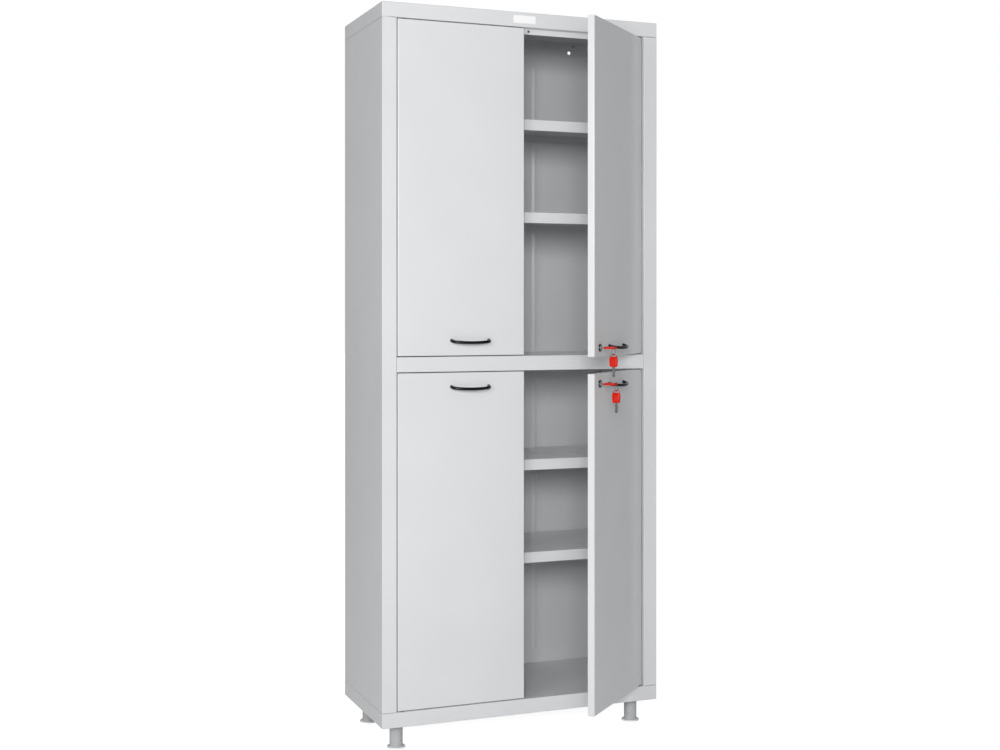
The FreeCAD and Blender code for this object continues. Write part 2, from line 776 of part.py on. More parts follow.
key_tip_y = front_y - head_reach
slot_middle_y = key_tip_y + head_slot_rim + head_slot_width / 2
ring_offset = (head_slot_length / 2 + head_width / 2) / 2
ring_hinge_x = {"upper": lock_x - ring_offset, "lower": lock_x + ring_offset}
ring_drop = ring_radius - ring_wire_radius - ring_key_clearance


def make_lock_key(height):
    """Key pushed home in the plug, its head level."""
    blade_end_y = lock_front_y + keyway_depth - keyway_clearance
    key = make_key(blade_end_y - key_tip_y - head_length)
    key.translate(Vector(lock_x, key_tip_y, height))
    return key


def make_ring(hinge_x, height):
    """Wire ring through the slot of the key's head, round one end of it."""
    centre = Vector(hinge_x, slot_middle_y, height - ring_drop)
    return Part.makeTorus(ring_radius, ring_wire_radius, centre, Y_AXIS)


def make_spare_key(hinge_x, height):
    """Spare key hanging from the lowest point of the ring, flat side towards the free edge."""
    key = make_key(blade_length)
    key.rotate(Vector(0, 0, 0), X_AXIS, -90)
    key.rotate(Vector(0, 0, 0), Z_AXIS, 90)
    wire_top = height - ring_drop - ring_radius + ring_wire_radius
    key.translate(Vector(hinge_x, slot_middle_y, wire_top + ring_spare_gap + head_slot_rim))
    return key


# Slide bolts on the left doors
def bolt_edges(level):
    """Door edge next to the rail, and the direction along Z from it into the door."""
    if level == "upper":
        return levels["upper"][0], 1
    return levels["lower"][1], -1


def make_bolt_bracket(level):
    """Guide plate on the door's return with two bored ears."""
    edge_z, inward = bolt_edges(level)
    span_x = (bolt_x - bracket_width / 2, bolt_x + bracket_width / 2)
    span_z = (edge_z + inward * bracket_low, edge_z + inward * bracket_high)
    pieces = [block(span_x, (door_back_y, door_back_y + bracket_sheet), span_z)]
    ear_y = (door_back_y, door_back_y + bracket_ear_depth)
    for ear_z, step in ((span_z[0], inward), (span_z[1], -inward)):
        pieces.append(block(span_x, ear_y, (ear_z, ear_z + step * bracket_sheet)))
    bore_start = Vector(bolt_x, bolt_y, min(span_z))
    bore = rod(bolt_radius + running_clearance, bore_start, Z_AXIS, bracket_high - bracket_low)
    return joined(pieces).cut(bore)


def make_slide_bolt(level):
    """Round bolt with a finger knob, drawn back clear of the rail."""
    edge_z, inward = bolt_edges(level)
    axis = Vector(0, 0, inward)
    start = Vector(bolt_x, bolt_y, edge_z + inward * bolt_edge_setback)
    knob_start = Vector(bolt_x, bolt_y, edge_z + inward * bolt_knob_rise)
    body = rod(bolt_radius, start, axis, bolt_length)
    knob = rod(bolt_knob_radius, knob_start, Y_AXIS, bolt_radius + bolt_knob_length)
    return joined([body, knob])


def make_maker_plate():
    """Small bare plate on the middle of the top band."""
    middle_z = cabinet_top_z - plate_centre_drop
    return block(
        (-plate_width / 2, plate_width / 2),
        (front_y - plate_thickness, front_y),
        (middle_z - plate_height / 2, middle_z + plate_height / 2),
    )


# Carcass
save("top_panel", [make_top_panel()])
save("bottom_panel", [make_bottom_panel()])
save("left_side_panel", [make_side_panel(sides["left"])])
save("right_side_panel", [make_side_panel(sides["right"])])
save("back_panel", [make_back_panel()])
save("middle_shelf", [make_middle_shelf()])
save("maker_plate", [make_maker_plate()])
for shelf_name, shelf_top in shelf_tops.items():
    save(shelf_name, [make_shelf(shelf_top)])
save("shelf_clips", make_shelf_clips())
save("carcass_rivets", make_rivets())
save("pivot_pins", make_pivot_pins())
save("door_bumpers", make_door_bumpers())
save("legs", [make_leg(x, y) for _, x, y in leg_places])
save("leg_screws", make_leg_screws())
for leg_name, leg_x, leg_y in leg_places:
    save(leg_name + "_foot", [make_foot(leg_x, leg_y)])

# Doors
for level, door_z in levels.items():
    for side_name, side_sign in sides.items():
        prefix = level + "_" + side_name + "_"
        grip_z = handle_heights[(level, side_name)]
        holes = handle_holes(side_sign, grip_z)
        if side_name == "right":
            lock_start = Vector(lock_x, front_y - door_sheet, lock_heights[level])
            holes.append(rod(lock_barrel_radius, lock_start, Y_AXIS, 3 * door_sheet))
        pieces = {
            "door": [make_door(side_sign, door_z, holes)],
            "door_stiffener": [make_stiffener(side_sign, door_z)],
            "door_bushes": make_bushes(side_sign, door_z),
            "handle": [make_handle(side_sign, grip_z)],
            "handle_screws": make_handle_screws(side_sign, grip_z),
        }
        for piece_name, shapes in pieces.items():
            save(prefix + piece_name, [turned_open(shape, side_name) for shape in shapes])

# Locks, keys and slide bolts
for level, cam_direction in (("upper", -1), ("lower", 1)):
    height = lock_heights[level]
    pieces = {
        "lock_housing": make_lock_housing(height),
        "lock_nut": make_lock_nut(height),
        "lock_plug": make_lock_plug(height),
        "lock_cam": make_cam(height, cam_direction),
        "lock_key": make_lock_key(height),
        "key_ring": make_ring(ring_hinge_x[level], height),
        "spare_key": make_spare_key(ring_hinge_x[level], height),
    }
    for piece_name, shape in pieces.items():
        save(level + "_" + piece_name, [turned_open(shape, "right")])
    save(level + "_bolt_bracket", [make_bolt_bracket(level)])
    save(level + "_slide_bolt", [make_slide_bolt(level)])
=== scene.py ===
import bmesh
import bpy
import json
import math
from mathutils import Matrix, Vector


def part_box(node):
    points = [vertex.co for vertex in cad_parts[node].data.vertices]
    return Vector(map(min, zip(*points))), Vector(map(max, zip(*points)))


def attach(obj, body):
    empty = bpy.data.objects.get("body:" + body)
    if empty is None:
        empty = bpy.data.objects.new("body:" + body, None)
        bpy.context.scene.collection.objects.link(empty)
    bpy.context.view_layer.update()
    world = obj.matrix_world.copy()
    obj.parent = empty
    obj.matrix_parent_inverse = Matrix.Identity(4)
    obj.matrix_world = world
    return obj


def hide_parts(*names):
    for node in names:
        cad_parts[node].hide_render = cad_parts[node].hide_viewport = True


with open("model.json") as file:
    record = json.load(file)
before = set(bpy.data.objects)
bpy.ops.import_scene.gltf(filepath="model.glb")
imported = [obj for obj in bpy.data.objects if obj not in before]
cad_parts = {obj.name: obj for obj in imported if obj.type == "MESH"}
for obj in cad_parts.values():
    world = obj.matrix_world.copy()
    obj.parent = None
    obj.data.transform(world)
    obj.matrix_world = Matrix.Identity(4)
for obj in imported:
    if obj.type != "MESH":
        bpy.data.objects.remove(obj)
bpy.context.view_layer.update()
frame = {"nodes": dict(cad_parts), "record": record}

MM = 0.001
QUARTER_TURN = math.radians(90)

# Axis numbers: across the cabinet, from its front to its back, and up
ACROSS, BACK, UP = range(3)
AXES = (ACROSS, BACK, UP)

# Groups of CAD nodes
LEVELS = ("upper", "lower")
SIDES = ("left", "right")
SHELVES = ("upper_high_shelf", "upper_low_shelf", "lower_high_shelf", "lower_low_shelf")
SIDE_PANELS = ("left_side_panel", "right_side_panel")
CARCASS = SIDE_PANELS + ("top_panel", "bottom_panel", "middle_shelf")
FEET = ("front_left_foot", "front_right_foot", "back_left_foot", "back_right_foot")

# Two close shades of each finish, as seen on the object
PAINT_GREY = ("#D9DADC", "#DCDDDF")
# The seam grey is painted shade: it darkens seams and cut edges where shade falls
SEAM_SHADE_GREY = ("#626365", "#6A6B6D")
LEG_GREY = ("#BDBEC0", "#C4C5C7")
HANDLE_BLACK = ("#060607", "#0B0B0C")
CHROME_SILVER = ("#CFD0D3", "#D9DADC")
# The rim grey is a painted reflection: chrome darkened to stand in for dark surroundings mirrored in it
RIM_REFLECTION_GREY = ("#515356", "#5C5E61")
ZINC_GREY = ("#A7A8AA", "#B4B5B6")
NICKEL_GREY = ("#757472", "#8C8A87")
KEY_RED = ("#C41502", "#CE1A04")
NYLON_GREY = ("#525356", "#5A5B5E")
RUBBER_BLACK = ("#141416", "#18181A")
FOOT_WHITE = ("#EDEDEE", "#F4F4F4")
PLATE_WHITE = ("#F5F5F6", "#FBFBFB")
FLOOR_WHITE = "#F4F4F4"
LIGHT_WHITE = (1.0, 1.0, 1.0, 1.0)

# Most of a noise texture's values lie between these two
NOISE_LOW = 0.3
NOISE_HIGH = 0.7

# How far the roughness of powder coat and of moulded plastic drifts to either side
COAT_HAZE = 0.03
MOULD_HAZE = 0.05

# Scale of the brushing along each axis, which draws it out into streaks along the plate
STREAK_STRETCH = (0.02, 1.0, 1.0)

# Camera fitted to the photograph's edges: 1000 pixels wide, horizon above the middle of the picture
CAMERA_PLACE = (-1.2967, -3.2822, 1.0077)
CAMERA_YAW_DEG = 21.5685
FOCAL_PIXELS = 1432.76
HORIZON_PIXEL = 311.28
PICTURE_SIZE = (1000, 750)
SENSOR_WIDTH = 36.0

# Studio light, the floor's own glow to the camera, and half the floor's width
AMBIENT = 0.29
FLOOR_GLOW = 0.82
FLOOR_REACH = 30.0

# Lamps that face one point: place, width, and the level to which each lights a white card at that point
LAMP_TARGET = (0.0, -0.16, 0.9)
LAMPS = {
    "front_softbox": ((-1.15, -5.1, 1.65), 1.2, 0.10),
    "camera_softbox": ((-1.75, -4.1, 1.75), 1.0, 0.40),
    "left_softbox": ((-3.4, -3.0, 1.8), 1.6, 0.245),
}

# Rounded folds keep their sheet's own finish; notched cut edges and seams get a dark grey that is painted
# shade, standing in for the shade inside them
FOLD_RADIUS = 1.8 * MM
FOLD_PROFILE = 0.5
CUT_RADIUS = 0.85 * MM
CUT_PROFILE = 0.08
ROUNDING_SEGMENTS = 3
OWN_SLOT = -1
SEAM_SHADE_SLOT = 1

# Least angle and length of an edge that is rounded, and the width below which a face is a cut edge
FOLD_ANGLE_DEG = 40
SHORTEST_FOLD = 3.0 * MM
CUT_FACE_WIDTH = 1.5 * MM

# Faces larger than this, in square metres, are flattened if they lie this near to the outside
LARGE_FACE_AREA = 0.01
CORNER_DRIFT = 0.4 * MM

# Points this close are one point, and faces that turn less than this are one face
MERGE_DISTANCE = 0.002 * MM
FLAT_ANGLE_DEG = 0.5

# Domed fasteners: heads stop at the floor, the rim lies past a share of the radius, sizes are to a micron
FASTENER_SIZES = ("Head Radius", "Head Height", "Shank Radius", "Shank Length")
DOME_SEGMENTS = 24
DOME_RINGS = 12
DOME_FLOOR = (-1.0, -1.0, 0.0)
RIM_SHARE = 0.95
SIZE_DIGITS = 6

# Key heads: a rounded crown at the tip, a slight taper to the foot, and a slot for the ring
HEAD_POINTS = 96
HEAD_LENGTH = 29.5 * MM
HEAD_WIDTH = 20.0 * MM
HEAD_THICKNESS = 5.0 * MM
CROWN_SHARE = 0.55
CROWN_FULLNESS = 0.9
FOOT_SHARE = 0.12
FOOT_TAPER = 0.88
FOOT_CORNER_WIDTH = 0.78
SLOT_LENGTH = 13.6 * MM
SLOT_WIDTH = 4.0 * MM
SLOT_RIM = 2.4 * MM
SLOT_MIDDLE = SLOT_RIM + SLOT_WIDTH / 2
LEAST_WALL = 0.5 * MM
SEARCH_STEPS = 40
LEAST_SINE = 1e-9

# Rounding of a key head from its face to its edge: inset, or spread of the slot, and share of half thickness
HEAD_PROFILE = ((1.9 * MM, 1.0), (0.9 * MM, 0.93), (0.25 * MM, 0.7), (0.0, 0.35))
SLOT_PROFILE = ((0.35 * MM, 1.0), (0.0, 0.82))

# Key blades, with bits cut into one edge; a bit's floor runs between two shares of the pitch
BLADE_WIDTH = 6.0 * MM
BLADE_THICKNESS = 2.0 * MM
BLADE_OVERLAP = 6.0 * MM
BLADE_TIP = 2.2 * MM
BIT_START = 4.0 * MM
BIT_PITCH = 2.6 * MM
BIT_FLOOR = (0.35, 0.65)
BIT_DEPTHS_MM = (1.2, 0.5, 1.6, 0.8, 1.9, 0.6, 1.3)


def linear(hex_code):
    """sRGB hex to linear RGBA, by the standard curve."""
    values = [int(hex_code[index:index + 2], 16) / 255 for index in (1, 3, 5)]
    return [v / 12.92 if v <= 0.04045 else ((v + 0.055) / 1.055) ** 2.4 for v in values] + [1.0]


def add(tree, kind, settings=None, links=None):
    """One node with its settings (attributes or input values) and links (input name: output socket)."""
    node = tree.nodes.new(kind)
    for name, value in (settings or {}).items():
        if name in node.inputs:
            node.inputs[name].default_value = value
        else:
            setattr(node, name, value)
    for name, socket in (links or {}).items():
        tree.links.new(socket, node.inputs[name])
    return node


def cleared_tree(holder):
    """Empty node tree of a material or a world."""
    holder.use_nodes = True
    holder.node_tree.nodes.clear()
    return holder.node_tree


def new_material(name, settings=None):
    """Material with a Principled shader, set as given and wired to its output."""
    material = bpy.data.materials.new(name)
    tree = cleared_tree(material)
    shader = add(tree, "ShaderNodeBsdfPrincipled", settings)
    add(tree, "ShaderNodeOutputMaterial", links={"Surface": shader.outputs[0]})
    return material, tree, shader


def per_metre(size_mm):
    """Noise scale whose features are about this many millimetres."""
    return 1.0 / (size_mm * MM)


def noise(tree, size_mm, detail=2.0):
    """Noise in Object coordinates at a real feature size."""
    place = add(tree, "ShaderNodeTexCoord")
    settings = {"Scale": per_metre(size_mm), "Detail": detail}
    return add(tree, "ShaderNodeTexNoise", settings, {"Vector": place.outputs["Object"]})


def tint(tree, shader, source, shades):
    """Base colour drifting between two close shades."""
    ramp = add(tree, "ShaderNodeValToRGB", links={"Fac": source.outputs["Fac"]})
    for stop, place, shade in zip(ramp.color_ramp.elements, (NOISE_LOW, NOISE_HIGH), shades):
        stop.position = place
        stop.color = linear(shade)
    tree.links.new(ramp.outputs["Color"], shader.inputs["Base Color"])


def roughen(tree, shader, source, low, high):
    """Roughness drifting between two values."""
    settings = {"From Min": NOISE_LOW, "From Max": NOISE_HIGH, "To Min": low, "To Max": high}
    spread = add(tree, "ShaderNodeMapRange", settings, {"Value": source.outputs["Fac"]})
    tree.links.new(spread.outputs["Result"], shader.inputs["Roughness"])


def bump(tree, shader, source, strength, height_mm):
    """Surface relief from a noise."""
    settings = {"Strength": strength, "Distance": height_mm * MM}
    relief = add(tree, "ShaderNodeBump", settings, {"Height": source.outputs["Fac"]})
    tree.links.new(relief.outputs["Normal"], shader.inputs["Normal"])


def powder_coat(name, shades, roughness):
    """Polyester powder coat baked on sheet steel: even, semi-gloss, with a faint orange peel."""
    material, tree, shader = new_material(name, {"IOR": 1.5})
    drift = noise(tree, size_mm=180, detail=1.0)
    haze = noise(tree, size_mm=60, detail=2.0)
    # Real orange peel is about 1 mm, drawn coarser so that it shows
    peel = noise(tree, size_mm=3.0, detail=1.0)
    tint(tree, shader, drift, shades)
    roughen(tree, shader, haze, roughness - COAT_HAZE, roughness + COAT_HAZE)
    bump(tree, shader, peel, strength=0.06, height_mm=0.05)
    return material


def make_black_lacquer():
    """Black stove-enamelled steel: deep, glossy, slightly uneven."""
    material, tree, shader = new_material("black_enamelled_steel", {"Specular IOR Level": 0.3})
    drift = noise(tree, size_mm=12)
    tint(tree, shader, drift, HANDLE_BLACK)
    roughen(tree, shader, drift, low=0.10, high=0.17)
    bump(tree, shader, noise(tree, size_mm=1.5), strength=0.05, height_mm=0.05)
    return material


def plated_metal(name, shades, roughness, grain_mm, metallic=1.0):
    """Plated or metal-painted surface: bright, with a fine drift of gloss from handling."""
    material, tree, shader = new_material(name, {"Metallic": metallic})
    drift = noise(tree, grain_mm, detail=3.0)
    tint(tree, shader, drift, shades)
    roughen(tree, shader, drift, *roughness)
    bump(tree, shader, drift, strength=0.02, height_mm=0.02)
    return material


def moulded_plastic(name, shades, roughness, grain_mm, shine=0.5):
    """Injection-moulded plastic: even colour with the fine spark-eroded grain of its mould."""
    material, tree, shader = new_material(name, {"Specular IOR Level": shine})
    drift = noise(tree, size_mm=15, detail=2.0)
    grain = noise(tree, grain_mm, detail=1.0)
    tint(tree, shader, drift, shades)
    roughen(tree, shader, grain, roughness - MOULD_HAZE, roughness + MOULD_HAZE)
    bump(tree, shader, grain, strength=0.12, height_mm=0.03)
    return material


def make_white_plate():
    """White-lacquered aluminium: the brushing underneath still shows as fine streaks."""
    material, tree, shader = new_material("white_lacquered_aluminium")
    place = add(tree, "ShaderNodeTexCoord")
    stretch = add(tree, "ShaderNodeMapping", {"Scale": STREAK_STRETCH}, {"Vector": place.outputs["Object"]})
    settings = {"Scale": per_metre(size_mm=0.8), "Detail": 2.0}
    streaks = add(tree, "ShaderNodeTexNoise", settings, {"Vector": stretch.outputs["Vector"]})
    tint(tree, shader, streaks, PLATE_WHITE)
    roughen(tree, shader, streaks, low=0.32, high=0.45)
    bump(tree, shader, streaks, strength=0.1, height_mm=0.02)
    return material


paint = powder_coat("powder_coated_steel", PAINT_GREY, roughness=0.2)
# Painted shade: a dark grey for notched seams and cut edges, standing in for the shade in them
seam_shade_paint = powder_coat("steel_with_painted_seam_shade", SEAM_SHADE_GREY, roughness=0.5)
leg_metal = plated_metal(
    "aluminium_painted_leg_tube", LEG_GREY, roughness=(0.26, 0.32), grain_mm=30, metallic=0.2,
)
lacquer = make_black_lacquer()
chrome = plated_metal("chrome_plated_zinc", CHROME_SILVER, roughness=(0.06, 0.14), grain_mm=6)
# Lock rim: chrome base darkened as a painted reflection of dark surroundings
chrome_with_painted_dark_reflection = plated_metal("chrome_rim_with_painted_dark_reflection", RIM_REFLECTION_GREY, roughness=(0.06, 0.14), grain_mm=6)
zinc = plated_metal("zinc_plated_steel", ZINC_GREY, roughness=(0.28, 0.42), grain_mm=4)
key_metal = plated_metal("nickel_plated_brass", NICKEL_GREY, roughness=(0.2, 0.34), grain_mm=3)
red_plastic = moulded_plastic("red_moulded_abs", KEY_RED, roughness=0.34, grain_mm=0.8, shine=0.2)
nylon = moulded_plastic("grey_moulded_nylon", NYLON_GREY, roughness=0.55, grain_mm=0.8)
rubber = moulded_plastic("black_moulded_rubber", RUBBER_BLACK, roughness=0.75, grain_mm=0.6)
foot_plastic = moulded_plastic("pale_moulded_polypropylene", FOOT_WHITE, roughness=0.48, grain_mm=1.0)
plate_metal = make_white_plate()


def body_holding(node):
    """Name of the body that a CAD node rides on."""
    for body, nodes in frame["record"]["behaviour"]["bodies"].items():
        if node in nodes:
            return body
    raise KeyError(node)


def dress(node, material):
    """Give a CAD node its finished material."""
    mesh = frame["nodes"][node].data
    mesh.materials.clear()
    mesh.materials.append(material)


def mesh_from(draft, name):
    """Plain mesh of a bmesh draft, which is freed."""
    mesh = bpy.data.meshes.new(name)
    draft.to_mesh(mesh)
    draft.free()
    return mesh


def evaluated_mesh(holder):
    """Plain mesh of an object with its modifiers applied; the object itself is removed."""
    bpy.context.scene.collection.objects.link(holder)
    graph = bpy.context.evaluated_depsgraph_get()
    mesh = bpy.data.meshes.new_from_object(holder.evaluated_get(graph))
    bpy.data.objects.remove(holder)
    return mesh


def shade_smooth(mesh):
    """Smooth shading on every face."""
    for polygon in mesh.polygons:
        polygon.use_smooth = True


def hold_inside(mesh, node):
    """Keep a mesh inside the box of the CAD node that it stands for."""
    low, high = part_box(node)
    for vertex in mesh.vertices:
        for axis in AXES:
            vertex.co[axis] = min(max(vertex.co[axis], low[axis]), high[axis])


def finish_piece(name, mesh, node):
    """Link a finished mesh, with its own materials, as a piece that rides with a node's body."""
    hold_inside(mesh, node)
    piece = bpy.data.objects.new(name, mesh)
    bpy.context.scene.collection.objects.link(piece)
    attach(piece, body_holding(node))
    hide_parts(node)


def merged_copy(node):
    """A node's mesh with its loose triangles joined and its flat faces whole."""
    sheet = bmesh.new()
    sheet.from_mesh(frame["nodes"][node].data)
    bmesh.ops.remove_doubles(sheet, verts=sheet.verts, dist=MERGE_DISTANCE)
    flat = math.radians(FLAT_ANGLE_DEG)
    bmesh.ops.dissolve_limit(sheet, angle_limit=flat, verts=sheet.verts, edges=sheet.edges)
    return sheet


def lies_in(shape, planes):
    """Whether a face or an edge lies in one of the planes, each an axis number and a place on it."""
    for axis, place in planes:
        if all(abs(vertex.co[axis] - place) < MERGE_DISTANCE for vertex in shape.verts):
            return True
    return False


def face_width(face):
    """Width of a long face."""
    return face.calc_area() / max(edge.calc_length() for edge in face.edges)


def round_edges(holder, weight_name, radius, profile, slot):
    """Bevel modifier on the edges that carry the named weight."""
    bevel = holder.modifiers.new(weight_name, "BEVEL")
    bevel.width = radius
    bevel.segments = ROUNDING_SEGMENTS
    bevel.profile = profile
    bevel.limit_method = "WEIGHT"
    bevel.edge_weight = weight_name
    bevel.use_clamp_overlap = False
    bevel.harden_normals = True
    bevel.material = slot


def flatten_outside(mesh, node):
    """Bring the corners of large outside faces back to the sheet's plane, where two roundings meet."""
    low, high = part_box(node)
    for polygon in mesh.polygons:
        axis = max(AXES, key=lambda number: abs(polygon.normal[number]))
        plane = high[axis] if polygon.normal[axis] > 0 else low[axis]
        if polygon.area > LARGE_FACE_AREA and abs(polygon.center[axis] - plane) < CORNER_DRIFT:
            for index in polygon.vertices:
                mesh.vertices[index].co[axis] = plane


def folded_sheet(node, planes, seams):
    """Painted sheet with rounded folds on the given outside planes, notched at its cut edges and seams; the
    notches get a dark grey of painted shade.
    """
    sheet = merged_copy(node)
    folds = sheet.edges.layers.float.new("folds")
    cuts = sheet.edges.layers.float.new("cuts")
    for edge in sheet.edges:
        outside = len(edge.link_faces) == 2 and any(lies_in(face, planes) for face in edge.link_faces)
        if outside and edge.is_convex and edge.calc_length() > SHORTEST_FOLD:
            if edge.calc_face_angle() > math.radians(FOLD_ANGLE_DEG):
                is_cut = min(face_width(face) for face in edge.link_faces) < CUT_FACE_WIDTH
                is_cut = is_cut or lies_in(edge, seams)
                edge[cuts if is_cut else folds] = 1.0
    mesh = mesh_from(sheet, node + "_sharp")
    mesh.materials.append(paint)
    mesh.materials.append(seam_shade_paint)
    holder = bpy.data.objects.new(node + "_holder", mesh)
    round_edges(holder, "folds", FOLD_RADIUS, FOLD_PROFILE, OWN_SLOT)
    # The notches at cut edges and seams take the dark grey of painted shade
    round_edges(holder, "cuts", CUT_RADIUS, CUT_PROFILE, SEAM_SHADE_SLOT)
    rounded = evaluated_mesh(holder)
    flatten_outside(rounded, node)
    finish_piece(node + "_folded_sheet", rounded, node)


# Sheet-metal carcass and shelves
carcass_boxes = [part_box(node) for node in CARCASS]
carcass_low = [min(low[axis] for low, high in carcass_boxes) for axis in AXES]
carcass_high = [max(high[axis] for low, high in carcass_boxes) for axis in AXES]
outside_planes = [(BACK, carcass_low[BACK])]
for axis in (ACROSS, UP):
    outside_planes += [(axis, carcass_low[axis]), (axis, carcass_high[axis])]
for node in CARCASS:
    low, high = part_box(node)
    ends = [(UP, low[UP]), (UP, high[UP])]
    folded_sheet(node, outside_planes, ends if node in SIDE_PANELS else [])
for node in SHELVES:
    low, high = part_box(node)
    folded_sheet(node, [(BACK, low[BACK]), (UP, high[UP])], [])


def dress_section(level):
    """Finishes of one section's doors, handles, locks and bolts."""
    for side in SIDES:
        dress(f"{level}_{side}_door", paint)
        dress(f"{level}_{side}_door_stiffener", paint)
        dress(f"{level}_{side}_door_bushes", nylon)
        dress(f"{level}_{side}_handle", lacquer)
        dress(f"{level}_{side}_handle_screws", zinc)
    # The lock housing's darker chrome is a painted reflection
    dress(f"{level}_lock_housing", chrome_with_painted_dark_reflection)
    dress(f"{level}_lock_plug", chrome)
    for piece in ("lock_nut", "lock_cam", "slide_bolt", "bolt_bracket"):
        dress(f"{level}_{piece}", zinc)
    dress(f"{level}_key_ring", key_metal)


# Pieces that keep their CAD shape
for level in LEVELS:
    dress_section(level)
for node in ("shelf_clips", "pivot_pins"):
    dress(node, zinc)
for node in FEET:
    dress(node, foot_plastic)
dress("back_panel", paint)
dress("door_bumpers", rubber)
dress("maker_plate", plate_metal)
dress("legs", leg_metal)


def fastener_tree():
    """Node tree that sets a domed head with its shank on each point, along the point's own axis."""
    tree = bpy.data.node_groups.new("domed_fasteners", "GeometryNodeTree")
    sockets = tree.interface
    sockets.new_socket("Points", in_out="INPUT", socket_type="NodeSocketGeometry")
    for name in FASTENER_SIZES:
        sockets.new_socket(name, in_out="INPUT", socket_type="NodeSocketFloat")
    sockets.new_socket("Metal", in_out="INPUT", socket_type="NodeSocketMaterial")
    sockets.new_socket("Fasteners", in_out="OUTPUT", socket_type="NodeSocketGeometry")
    given = add(tree, "NodeGroupInput").outputs

    # Head: a ball stretched to the head's size, with all below its seat pressed flat
    ball = add(
        tree, "GeometryNodeMeshUVSphere",
        {"Segments": DOME_SEGMENTS, "Rings": DOME_RINGS, "Radius": 1.0},
    )
    head_size = add(
        tree, "ShaderNodeCombineXYZ",
        links={"X": given["Head Radius"], "Y": given["Head Radius"], "Z": given["Head Height"]},
    )
    dome = add(
        tree, "GeometryNodeTransform",
        links={"Geometry": ball.outputs["Mesh"], "Scale": head_size.outputs["Vector"]},
    )
    place = add(tree, "GeometryNodeInputPosition")
    above = add(tree, "ShaderNodeVectorMath", {"operation": "MAXIMUM"}, {0: place.outputs["Position"]})
    above.inputs[1].default_value = DOME_FLOOR
    flat_based = add(
        tree, "GeometryNodeSetPosition",
        links={"Geometry": dome.outputs["Geometry"], "Position": above.outputs["Vector"]},
    )

    # Shank: a bar that hangs half its length below the seat's level
    bar = add(
        tree, "GeometryNodeMeshCylinder", {"Vertices": DOME_SEGMENTS},
        {"Radius": given["Shank Radius"], "Depth": given["Shank Length"]},
    )
    half = add(tree, "ShaderNodeMath", {"operation": "MULTIPLY"}, {0: given["Shank Length"]})
    half.inputs[1].default_value = -0.5
    sunk = add(tree, "ShaderNodeCombineXYZ", links={"Z": half.outputs["Value"]})
    shank = add(
        tree, "GeometryNodeTransform",
        links={"Geometry": bar.outputs["Mesh"], "Translation": sunk.outputs["Vector"]},
    )

    # Both together on each point
    whole = add(tree, "GeometryNodeJoinGeometry", links={"Geometry": flat_based.outputs["Geometry"]})
    tree.links.new(shank.outputs["Geometry"], whole.inputs["Geometry"])
    axis = add(tree, "GeometryNodeInputNamedAttribute", {"data_type": "FLOAT_VECTOR", "Name": "axis"})
    turn = add(
        tree, "FunctionNodeAlignRotationToVector", {"axis": "Z"},
        {"Vector": axis.outputs["Attribute"]},
    )
    placed = add(
        tree, "GeometryNodeInstanceOnPoints",
        links={
            "Points": given["Points"],
            "Instance": whole.outputs["Geometry"],
            "Rotation": turn.outputs["Rotation"],
        },
    )
    real = add(tree, "GeometryNodeRealizeInstances", links={"Geometry": placed.outputs["Instances"]})
    dressed = add(
        tree, "GeometryNodeSetMaterial",
        links={"Geometry": real.outputs["Geometry"], "Material": given["Metal"]},
    )
    add(tree, "NodeGroupOutput", links={"Fasteners": dressed.outputs["Geometry"]})
    return tree


def read_heads(points):
    """Seat, outward axis and sizes of each head of one fastener, from its surface points."""
    low = [min(point[axis] for point in points) for axis in AXES]
    high = [max(point[axis] for point in points) for axis in AXES]
    size = [high[axis] - low[axis] for axis in AXES]
    # A round fastener is as wide one way as the other across its own axis
    along = min(AXES, key=lambda axis: abs(size[axis - 1] - size[axis - 2]))
    middle = Vector([(low[axis] + high[axis]) / 2 for axis in AXES])

    def off_axis(point):
        away = point - middle
        away[along] = 0.0
        return away.length

    head_radius = max(off_axis(point) for point in points)
    rim = [point[along] for point in points if off_axis(point) > RIM_SHARE * head_radius]
    shank_radius = max(off_axis(point) for point in points if off_axis(point) < RIM_SHARE * head_radius)
    heads = []
    for outward, top, tail in ((-1.0, low[along], high[along]), (1.0, high[along], low[along])):
        near = [place for place in rim if (place - middle[along]) * outward > 0]
        if near:
            heads.append((outward, top, tail, min(near, key=lambda place: abs(place - middle[along]))))
    places = []
    for outward, top, tail, seat_place in heads:
        # Two heads share one shank, half each
        shank_end = tail if len(heads) == 1 else middle[along]
        seat = middle.copy()
        seat[along] = seat_place
        axis = Vector((0.0, 0.0, 0.0))
        axis[along] = outward
        sizes = (head_radius, abs(top - seat_place), shank_radius, abs(seat_place - shank_end))
        places.append((seat, axis, tuple(round(value, SIZE_DIGITS) for value in sizes)))
    return places


def fastener_places(node):
    """Seat, outward axis and sizes of each fastener head in a node, read from its separate solids."""
    solids = bmesh.new()
    solids.from_mesh(frame["nodes"][node].data)
    bmesh.ops.remove_doubles(solids, verts=solids.verts, dist=MERGE_DISTANCE)
    waiting = set(solids.verts)
    places = []
    while waiting:
        island = [waiting.pop()]
        for vertex in island:
            for edge in vertex.link_edges:
                other = edge.other_vert(vertex)
                if other in waiting:
                    waiting.remove(other)
                    island.append(other)
        places += read_heads([vertex.co.copy() for vertex in island])
    solids.free()
    return sorted(places, key=lambda place: tuple(place[0]))


